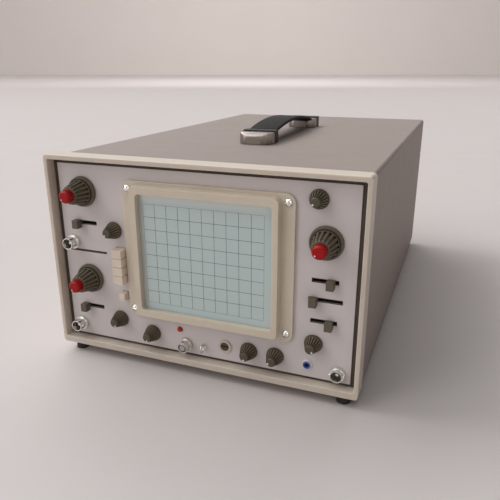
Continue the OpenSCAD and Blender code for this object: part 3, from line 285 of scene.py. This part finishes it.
CASE = surface("case_enamel", srgb(140, 127, 121), vary=0.015, blotch=14, rough=(0.52, 0.58), height=0.03)
BEZEL = surface(
    "bezel_plastic", srgb(202, 191, 178), vary=0.03, blotch=30, rough=(0.42, 0.50), grain=1800, height=0.03,
    depth=0.7,
)
SCREEN_FRAME = surface(
    "screen_frame_plastic", srgb(208, 196, 178), vary=0.03, blotch=40, rough=(0.38, 0.46), grain=1600,
    height=0.03, depth=0.3,
)
# Panel paint, with painted shade in its corners and recesses within 3 mm
PANEL = surface(
    "panel_paint", srgb(208, 199, 198), vary=0.02, blotch=18, rough=(0.36, 0.44), grain=2400, strength=0.25,
    painted_shade=3.0,
)
BACKING = surface(
    "backing_black", srgb(70, 60, 51), vary=0.12, blotch=60, rough=(0.55, 0.70), grain=900, height=0.04,
    strength=0.3,
)
SCREEN = screen_face()
RUBBER = surface(
    "foot_rubber", srgb(32, 29, 27), vary=0.15, blotch=200, rough=(0.65, 0.80), grain=1400, height=0.06,
    strength=0.5,
)
# Dark paint for the printed channel line, and for painted shade round the power button and along the slots
PRINT_AND_SHADE = surface("dark_paint", srgb(44, 38, 36), vary=0.10, blotch=200, rough=(0.45, 0.55), height=0.01)
GRID = surface("engraved_line", srgb(70, 92, 104), vary=0.10, blotch=600, rough=(0.40, 0.50), height=0.01)

# Finishes of the controls and sockets

# Range knobs, with painted shade in their flutes and inner corners within 1.4 mm
KNOB = surface(
    "knob_plastic", srgb(98, 89, 71), vary=0.08, blotch=120, rough=(0.42, 0.54), grain=3200, height=0.03,
    strength=0.3, painted_shade=1.4, shares=(0.74, 0.97),
)
# Small knobs, with painted shade along their flutes
SMALL_KNOB = surface(
    "small_knob_plastic", srgb(118, 105, 81), vary=0.08, blotch=160, rough=(0.42, 0.54), grain=3200,
    height=0.03, strength=0.3, flutes=True,
)
SLIDE = surface(
    "slide_plastic", srgb(91, 81, 67), vary=0.10, blotch=300, rough=(0.45, 0.60), height=0.06, strength=0.4,
)
RED = surface("cap_red", srgb(157, 5, 8), vary=0.06, blotch=150, rough=(0.40, 0.52), specular=0.25)
LAMP = surface(
    "lamp_red", srgb(188, 40, 34), vary=0.10, blotch=400, rough=(0.20, 0.30), grain=2000, height=0.01,
    strength=0.1, specular=0.3,
)
CREAM = surface("button_plastic", srgb(221, 205, 189), vary=0.04, blotch=120, rough=(0.45, 0.55))
BUSH = surface("bush_plastic", srgb(200, 187, 169), vary=0.04, blotch=200, rough=(0.40, 0.50))
# Trimmer plastic, with painted shade in its grooves and corners within 1.2 mm
TRIMMER = surface("trimmer_plastic", srgb(72, 62, 49), vary=0.08, blotch=300, rough=(0.40, 0.50), painted_shade=1.2)
SATIN = surface(
    "button_metal", (0.44, 0.43, 0.42), vary=0.05, blotch=300, rough=(0.32, 0.44), grain=3000, height=0.01,
    strength=0.3, metallic=0.85,
)
NICKEL = surface(
    "socket_nickel", (0.74, 0.73, 0.71), vary=0.06, blotch=260, rough=(0.16, 0.28), grain=1800, height=0.01,
    metallic=1.0,
)
INSULATOR = surface(
    "socket_insulator", srgb(98, 92, 86), vary=0.08, blotch=300, rough=(0.40, 0.52), grain=2400,
)
PIN = surface(
    "contact_plating", (0.82, 0.78, 0.70), vary=0.05, blotch=500, rough=(0.18, 0.28), grain=2000, height=0.01,
    metallic=1.0,
)
BLUE = surface("earth_blue", srgb(88, 102, 170), vary=0.08, blotch=300, rough=(0.28, 0.38), coat=0.2)
WHITE = surface("white_plastic", srgb(228, 224, 227), vary=0.03, blotch=300, rough=(0.36, 0.46))

# Finishes of the bright trim, the handle and the inside

CHROME = surface(
    "chrome", (0.66, 0.63, 0.60), vary=0.03, blotch=60, rough=(0.20, 0.28), grain=700, height=0.01,
    strength=0.12, metallic=1.0,
)
COVER = surface(
    "cover_plating", (0.33, 0.29, 0.27), vary=0.03, blotch=60, rough=(0.27, 0.33), grain=700, height=0.01,
    strength=0.12, metallic=1.0,
)
STEEL = surface(
    "screw_steel", (0.80, 0.79, 0.77), vary=0.05, blotch=300, rough=(0.10, 0.20), grain=1500, height=0.01,
    metallic=1.0,
)
MOULDING = surface(
    "black_moulding", srgb(16, 15, 14), vary=0.12, blotch=150, rough=(0.34, 0.46), grain=2400, height=0.03,
    strength=0.35, specular=0.2,
)
VINYL = surface(
    "strap_vinyl", srgb(9, 9, 9), vary=0.12, blotch=90, rough=(0.42, 0.52), grain=1100, height=0.12,
    strength=0.55, specular=0.07,
)
THREAD = surface(
    "strap_thread", srgb(13, 13, 13), vary=0.15, blotch=900, rough=(0.60, 0.75), grain=5200, height=0.08,
    strength=0.5, stretch=(1, 4, 1),
)
ZINC = surface(
    "zinc_plate", (0.50, 0.50, 0.48), vary=0.12, blotch=40, rough=(0.30, 0.45), grain=900, strength=0.3,
    metallic=0.9,
)
GLASS = surface(
    "tube_glass", srgb(120, 130, 128), vary=0.06, blotch=30, rough=(0.12, 0.20), grain=500, height=0.01,
    strength=0.1, coat=0.5,
)
BOARD = surface(
    "board_laminate", srgb(58, 104, 66), vary=0.14, blotch=70, rough=(0.40, 0.52), grain=1200, height=0.03,
    strength=0.3,
)
CORE = surface(
    "core_iron", srgb(96, 78, 60), vary=0.16, blotch=90, rough=(0.45, 0.60), grain=700, height=0.08,
    strength=0.5, stretch=(1, 12, 1),
)

FINISHES = {
    CASE: ["case_cover", "bottom_cover", "rear_panel"],
    BEZEL: ["front_bezel"],
    SCREEN_FRAME: ["screen_bezel"],
    PANEL: ["front_panel"],
    BACKING: ["backing_panel"],
    SCREEN: ["graticule"],
    RUBBER: ["feet"],
    KNOB: ["ch1_range_knob", "ch2_range_knob", "timebase_knob"],
    SMALL_KNOB: [
        "ch1_position_knob", "ch2_position_knob", "intensity_knob", "focus_knob", "scale_light_knob",
        "level_knob", "horizontal_knob",
    ],
    SLIDE: ["ch1_coupling_slide", "ch2_coupling_slide", "mode_slide", "source_slide", "slope_slide"],
    RED: ["ch1_variable_cap", "ch2_variable_cap", "timebase_variable_cap"],
    LAMP: ["power_lamp"],
    CREAM: ["display_button_1", "display_button_2", "display_button_3", "display_button_4", "invert_button"],
    BUSH: ["trimmer_bush"],
    TRIMMER: ["trimmer"],
    SATIN: ["power_button"],
    NICKEL: ["input_sockets"],
    INSULATOR: ["input_contacts"],
    BLUE: ["earth_socket"],
    WHITE: ["earth_collar"],
    CHROME: ["power_collar", "calibration_loop"],
    COVER: ["handle_covers"],
    STEEL: ["screen_screws", "case_screws"],
    MOULDING: [
        "tube_socket", "power_inlet", "fuse_holder", "handle_ends", "slide_switches", "button_switches",
    ],
    VINYL: ["handle_strap"],
    ZINC: ["tube_shield", "tube_bracket", "side_rails", "board_posts", "rotary_controls"],
    GLASS: ["picture_tube"],
    BOARD: ["circuit_board"],
    CORE: ["transformer"],
}
for material, names in FINISHES.items():
    for name in names:
        data = nodes[name].data
        data.materials.clear()
        data.materials.append(material)


# Edges of the CAD pieces

def soften(name, width):
    """Rounds a CAD node's sharp edges with modifiers, after joining the triangles of its flat faces."""
    weld_gap = 0.002
    flat_angle = 0.3
    sharp_angle = 35
    piece = nodes[name]
    weld = piece.modifiers.new("weld", "WELD")
    weld.merge_threshold = weld_gap * MM
    flat = piece.modifiers.new("flat", "DECIMATE")
    flat.decimate_type = "DISSOLVE"
    flat.angle_limit = math.radians(flat_angle)
    edge = piece.modifiers.new("edge", "BEVEL")
    edge.width = width * MM
    edge.segments = 3
    edge.limit_method = "ANGLE"
    edge.angle_limit = math.radians(sharp_angle)
    edge.use_clamp_overlap = True
    edge.harden_normals = True


# Widths of the rounded edges
EDGES = {
    "case_cover": 0.4,
    "front_bezel": 0.8,
    "screen_bezel": 1.6,
    "front_panel": 0.2,
    "handle_ends": 0.6,
    "handle_covers": 1.2,
    "power_collar": 0.3,
    "screen_screws": 0.5,
    "case_screws": 0.4,
    "input_sockets": 0.2,
    "earth_collar": 0.3,
    "feet": 0.5,
}
# The buttons' edges are narrower than their clearance of 0.3, or they touch the switches at full travel
FINISH_EDGES = {CREAM: 0.28, SLIDE: 0.4, RED: 0.6}
for name, width in EDGES.items():
    soften(name, width)
for finish, width in FINISH_EDGES.items():
    for name in FINISHES[finish]:
        soften(name, width)


# Building blocks of the new pieces

def add_mesh(name, form, material, body="chassis", smooth=True):
    """Turns a bmesh in the frame's metres into a piece that rides on a body."""
    data = bpy.data.meshes.new(name)
    bmesh.ops.recalc_face_normals(form, faces=form.faces)
    form.to_mesh(data)
    form.free()
    for face in data.polygons:
        face.use_smooth = smooth
    data.materials.append(material)
    piece = bpy.data.objects.new(name, data)
    scene.collection.objects.link(piece)
    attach(piece, body)
    return piece


def add_box(form, low, high):
    """Adds a closed box between two corners."""
    size = Vector(high) - Vector(low)
    centre = (Vector(high) + Vector(low)) / 2
    bmesh.ops.create_cube(form, size=1, matrix=Matrix.Translation(centre) @ Matrix.Diagonal((*size, 1)))


def circle(form, x, y, z, radius, count):
    """Adds a circle of points round a line along Y."""
    angles = (k / count * 2 * math.pi for k in range(count))
    return [form.verts.new((x + radius * math.cos(a), y, z + radius * math.sin(a))) for a in angles]


def bridge(form, one, two):
    """Adds the faces between two closed loops with as many points."""
    count = len(one)
    for k in range(count):
        after = (k + 1) % count
        form.faces.new((one[k], one[after], two[after], two[k]))


# Print, painted shade and small trim

# How far print and painted shade stand out from the face that they are on, and reach into it so that no gap shows
# behind
PAINT_PROUD = 0.05 * MM
PAINT_SUNK = 0.2 * MM


def grid_lines():
    """Engraved lines of the screen grid, thinner round its border.

    The grid lies a little to the left of the plate's middle and a little below it.
    """
    aside, below = 1.55 * MM, 1.2 * MM
    pitch_x, pitch_z = 9.87 * MM, 10.17 * MM
    columns, rows = 10, 8
    half_width, half_border = 0.16 * MM, 0.09 * MM
    depth = 0.06 * MM
    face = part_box("graticule")[0].y
    front, back = face - depth / 2, face + depth
    centre = middle("graticule")
    left = centre.x - aside - pitch_x * columns / 2
    right = left + pitch_x * columns
    bottom = centre.z - below - pitch_z * rows / 2
    top = bottom + pitch_z * rows
    form = bmesh.new()
    for i in range(columns + 1):
        x = left + i * pitch_x
        half = half_border if i in (0, columns) else half_width
        add_box(form, (x - half, front, bottom), (x + half, back, top))
    for i in range(rows + 1):
        z = bottom + i * pitch_z
        half = half_border if i in (0, rows) else half_width
        add_box(form, (left, front, z - half), (right, back, z + half))
    add_mesh("graticule_lines", form, GRID, smooth=False)


# Angles of the index marks, anticlockwise from the right as seen from the front
KNOB_MARKS = {
    "horizontal_knob": 225,
    "ch1_position_knob": 230,
    "ch2_position_knob": 300,
    "intensity_knob": 275,
    "focus_knob": 265,
    "scale_light_knob": 210,
    "level_knob": 315,
}
CAP_MARKS = {
    "ch1_variable_cap": 225,
    "ch2_variable_cap": 235,
    "timebase_variable_cap": 225,
}


def marks():
    """White index marks on the small knobs and on the red caps, at one distance from the axis each."""
    knob_out, knob_radius = 2.4 * MM, 0.75 * MM
    cap_out, cap_radius = 3.2 * MM, 0.6 * MM
    for knob, angle in KNOB_MARKS.items():
        mark(knob, angle, knob_out, knob_radius)
    for cap, angle in CAP_MARKS.items():
        mark(cap, angle, cap_out, cap_radius)


def mark(knob, angle, out, radius):
    """A small domed dot of paint on a knob's front; its body has the knob's name without the last word."""
    rings, around = 4, 20
    rise, sunk = 0.18 * MM, 0.04 * MM
    body = knob.rpartition("_")[0]
    turn = math.radians(angle)
    centre = middle(knob)
    x = centre.x + out * math.cos(turn)
    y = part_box(knob)[0].y + sunk
    z = centre.z + out * math.sin(turn)
    form = bmesh.new()
    loops = []
    for i in range(rings):
        slope = i / rings * math.pi / 2
        loops.append(circle(form, x, y - rise * math.sin(slope), z, radius * math.cos(slope), around))
    for one, two in zip(loops, loops[1:]):
        bridge(form, one, two)
    form.faces.new(loops[-1])
    form.faces.new(list(reversed(loops[0])))
    add_mesh(knob + "_dot", form, WHITE, body)


def button_shade_ring():
    """Painted shade: a dark ring on the power button's front, for the shaded gap round it, between two shares of
    its radius.
    """
    inner, outer = 0.62, 0.82
    around = 40
    low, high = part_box("power_button")
    front, back = low.y - PAINT_PROUD, low.y + PAINT_SUNK
    radius = (high.x - low.x) / 2
    centre = middle("power_button")
    form = bmesh.new()
    loops = [
        circle(form, centre.x, y, centre.z, share * radius, around)
        for share, y in ((inner, back), (inner, front), (outer, front), (outer, back))
    ]
    for one, two in zip(loops, loops[1:] + loops[:1]):
        bridge(form, one, two)
    add_mesh("power_button_shade_ring", form, PRINT_AND_SHADE, "power", smooth=False)


def dark_paint():
    """Dark line between the two channels, from near the front panel's left edge."""
    inset, length = 4.4 * MM, 36.0 * MM
    above, width = 76.3 * MM, 1.9 * MM
    proud = 0.06 * MM
    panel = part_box("front_panel")[0]
    low = Vector((panel.x + inset, panel.y - proud, panel.z + above))
    high = Vector((low.x + length, panel.y + PAINT_SUNK, low.z + width))
    form = bmesh.new()
    add_box(form, low, high)
    add_mesh("channel_line", form, PRINT_AND_SHADE, smooth=False)


def slot_shade_edges():
    """Painted shade along the upper and lower edges of the slide switches' slots, which makes the slots look
    taller.

    A slot is as long as its slide and the slide's travel, with clearance at both ends, and its middle
    lies above the slide's.
    """
    clearance, above = 0.3 * MM, 1.1 * MM
    half_slot, lap, reach = 1.15 * MM, 0.02 * MM, 0.55 * MM
    inner, outer = half_slot - lap, half_slot + reach
    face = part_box("front_panel")[0].y
    front, back = face - PAINT_PROUD, face + PAINT_SUNK
    travels = {joint["name"]: joint["range_m"] for joint in frame["joints"] if joint["type"] == "slide"}
    form = bmesh.new()
    for slide in FINISHES[SLIDE]:
        low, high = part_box(slide)
        to_left, to_right = travels[slide]
        left = low.x + to_left - clearance
        right = high.x + to_right + clearance
        z = middle(slide).z + above
        for bottom, top in ((z - outer, z - inner), (z + inner, z + outer)):
            add_box(form, (left, front, bottom), (right, back, top))
    add_mesh("slot_shade_edges", form, PRINT_AND_SHADE, smooth=False)


def socket_pins():
    """Bright centre contact on each input socket's insulator, behind the socket's mouth."""
    radius, length = 1.15 * MM, 1.4 * MM
    behind = 4.4 * MM
    mouths = [mount["pos_m"] for mount in frame["record"]["mounts"] if mount["name"].endswith("_input")]
    form = bmesh.new()
    for x, y, z in mouths:
        spot = Matrix.Translation((x, y + behind, z)) @ Matrix.Rotation(math.pi / 2, 4, "X")
        bmesh.ops.create_cone(
            form, cap_ends=True, segments=24, radius1=radius, radius2=radius, depth=length, matrix=spot
        )
    add_mesh("socket_pins", form, PIN, smooth=False)


grid_lines()
marks()
button_shade_ring()
dark_paint()
slot_shade_edges()
socket_pins()


# Strap

class StrapArc:
    """The arc of the CAD strap's upper side, worked out from its box and the handle ends' tops."""

    def __init__(self):
        low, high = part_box("handle_strap")
        chord = high.y - low.y
        rise = high.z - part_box("handle_ends")[1].z
        self.radius = (chord * chord / 4 + rise * rise) / (2 * rise)
        self.sweep = math.asin(chord / 2 / self.radius)
        self.half_width = (high.x - low.x) / 2
        self.middle_x = (low.x + high.x) / 2
        self.middle_y = (low.y + high.y) / 2
        self.centre_z = high.z - self.radius

    def place(self, across, angle, up=0.0):
        """A point on the strap, across from its middle line, along its arc and up from its upper side."""
        out = self.radius + up
        y = self.middle_y + out * math.sin(angle)
        z = self.centre_z + out * math.cos(angle)
        return Vector((self.middle_x + across, y, z))


def strap_band(arc):
    """Vinyl band with round edges."""
    thick = 3.2 * MM
    edge = thick / 2
    edge_steps, steps = 8, 72
    round_edge = []
    for k in range(edge_steps + 1):
        a = -math.pi / 2 + k / edge_steps * math.pi
        round_edge.append((arc.half_width - edge + edge * math.cos(a), edge * math.sin(a)))
    profile = [(x, z - edge) for x, z in round_edge]
    profile += [(-x, z - edge) for x, z in reversed(round_edge)]
    form = bmesh.new()
    loops = []
    for i in range(steps + 1):
        angle = -arc.sweep + 2 * arc.sweep * i / steps
        loops.append([form.verts.new(arc.place(x, angle, z)) for x, z in profile])
    for one, two in zip(loops, loops[1:]):
        bridge(form, one, two)
    form.faces.new(loops[0])
    form.faces.new(loops[-1])
    piece = add_mesh("strap", form, VINYL)
    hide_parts("handle_strap")


def strap_stitches(arc):
    """A row of stitches along each edge of the strap."""
    pitch = 4.2 * MM
    from_edge = 2.8 * MM
    stitch = Matrix.Diagonal((0.4 * MM, 1.4 * MM, 0.22 * MM, 1))
    total = int(2 * arc.sweep * arc.radius / pitch)
    form = bmesh.new()
    for side in (-1, 1):
        for i in range(total):
            angle = -arc.sweep + (i + 0.5) / total * 2 * arc.sweep
            spot = Matrix.Translation(arc.place(side * (arc.half_width - from_edge), angle))
            spin = Matrix.Rotation(-angle, 4, "X")
            bmesh.ops.create_icosphere(form, subdivisions=2, radius=1, matrix=spot @ spin @ stitch)
    stitches = add_mesh("strap_stitches", form, THREAD)


strap_arc = StrapArc()
strap_band(strap_arc)
strap_stitches(strap_arc)


# Stage, lamps and camera; the stage's and the lamps' sizes are in metres

# The way the camera faces, from the part's own depth round to the left
HEADING = math.radians(21.07859456)


def stage_place(across, ahead, up):
    """A place across, ahead and up from the frame's origin, as the camera faces."""
    x = across * math.cos(HEADING) - ahead * math.sin(HEADING)
    y = across * math.sin(HEADING) + ahead * math.cos(HEADING)
    return Vector((x, y, up))


def stage_sheet(name, corners, material):
    """A flat sheet between corners on the stage."""
    form = bmesh.new()
    for corner in corners:
        form.verts.new(stage_place(*corner))
    form.faces.new(form.verts)
    data = bpy.data.meshes.new(name)
    form.to_mesh(data)
    form.free()
    data.materials.append(material)
    sheet = bpy.data.objects.new(name, data)
    scene.collection.objects.link(sheet)
    return sheet


def stage_floor():
    """Pale floor that meets a plain backdrop far behind."""
    floor_paint = surface(
        "studio_floor", srgb(202, 195, 193), vary=0.01, blotch=2, rough=(0.55, 0.65), grain=400, strength=0.1
    )
    wall_paint = surface(
        "studio_wall", srgb(240, 231, 226), vary=0.01, blotch=1, rough=(0.75, 0.85), grain=40, height=0.2,
        strength=0.1,
    )
    near, far, half, high = -8, 13.3, 24.0, 9.0
    floor = stage_sheet(
        "studio_floor", [(-half, near, 0), (half, near, 0), (half, far, 0), (-half, far, 0)], floor_paint
    )
    wall = stage_sheet(
        "studio_wall", [(-half, far, 0), (half, far, 0), (half, far, high), (-half, far, high)], wall_paint
    )


def surroundings():
    """Pale world that shows to the eye, in gloss and through glass, and hardly lights the part."""
    shown, lighting = 0.50, 0.02
    world = bpy.data.worlds.new("studio")
    scene.world = world
    world.use_nodes = True
    tree = world.node_tree
    sky = tree.nodes["Background"]
    sky.inputs["Color"].default_value = (1, 0.95, 0.92, 1)
    path = tree.nodes.new("ShaderNodeLightPath")
    seen = calculate(tree, "MAXIMUM", path.outputs["Is Camera Ray"], path.outputs["Is Glossy Ray"])
    seen = calculate(tree, "MAXIMUM", seen, path.outputs["Is Transmission Ray"])
    level = calculate(tree, "ADD", calculate(tree, "MULTIPLY", seen, shown - lighting), lighting)
    tree.links.new(level, sky.inputs["Strength"])


def soft_lamp(name, turn, rise, power, colour=(1, 1, 1)):
    """A far, broad lamp, at an angle from the front round to the left and an angle above the floor."""
    breadth = 34
    away = 3
    turn, rise = math.radians(turn), math.radians(rise)
    source = Vector((-math.sin(turn) * math.cos(rise), -math.cos(turn) * math.cos(rise), math.sin(rise)))
    lamp = bpy.data.lights.new(name, "SUN")
    lamp.energy = power
    lamp.color = colour
    lamp.angle = math.radians(breadth)
    piece = bpy.data.objects.new(name, lamp)
    piece.location = source * away
    piece.rotation_euler = (-source).to_track_quat("-Z", "Y").to_euler()
    scene.collection.objects.link(piece)


def backdrop_lamp():
    """A broad lamp above the view that lights the middle of the backdrop."""
    ahead, up, tilt = 6.3, 3.2, 72
    lamp = bpy.data.lights.new("backdrop", "AREA")
    lamp.energy = 122
    lamp.size = 2
    piece = bpy.data.objects.new("backdrop", lamp)
    piece.location = stage_place(0, ahead, up)
    piece.rotation_euler = (math.radians(tilt), 0, HEADING)
    piece.visible_camera = False
    scene.collection.objects.link(piece)


def lights():
    """The lamps, each with its angle round to the left, its angle above the floor and its power."""
    soft_lamp("left_key", 90, 45, 1.60)
    soft_lamp("left_back", 135, 45, 0.88)
    soft_lamp("left_front", 45, 45, 0.51)
    soft_lamp("low_front", 40, 20, 0.47)
    soft_lamp("front_top", 0, 68, 0.47)
    soft_lamp("back", 180, 45, 0.37)
    soft_lamp("right_front", -40, 20, 0.31, (1.0, 0.94, 0.92))
    backdrop_lamp()


def camera():
    """The photo's camera, fitted to corners of the case, the bezel and the screen and to the sockets.

    It stands aside from the part's middle, before the bezel's rim and above the bezel's underside.
    """
    focal_pixels, picture_pixels = 545.0713, 500
    aside, before, above = 179.18358 * MM, 344.47938 * MM, 231.61529 * MM
    look_down = 18.7964472
    lens = bpy.data.cameras.new("camera")
    lens.sensor_width = 36
    lens.lens = focal_pixels / picture_pixels * lens.sensor_width
    lens.clip_start = 0.01
    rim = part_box("front_bezel")[0]
    view = bpy.data.objects.new("camera", lens)
    view.location = (aside, rim.y - before, rim.z + above)
    view.rotation_euler = (math.radians(90 - look_down), 0, HEADING)
    scene.collection.objects.link(view)
    scene.camera = view


stage_floor()
surroundings()
lights()
camera()
scene.view_settings.view_transform = "Standard"
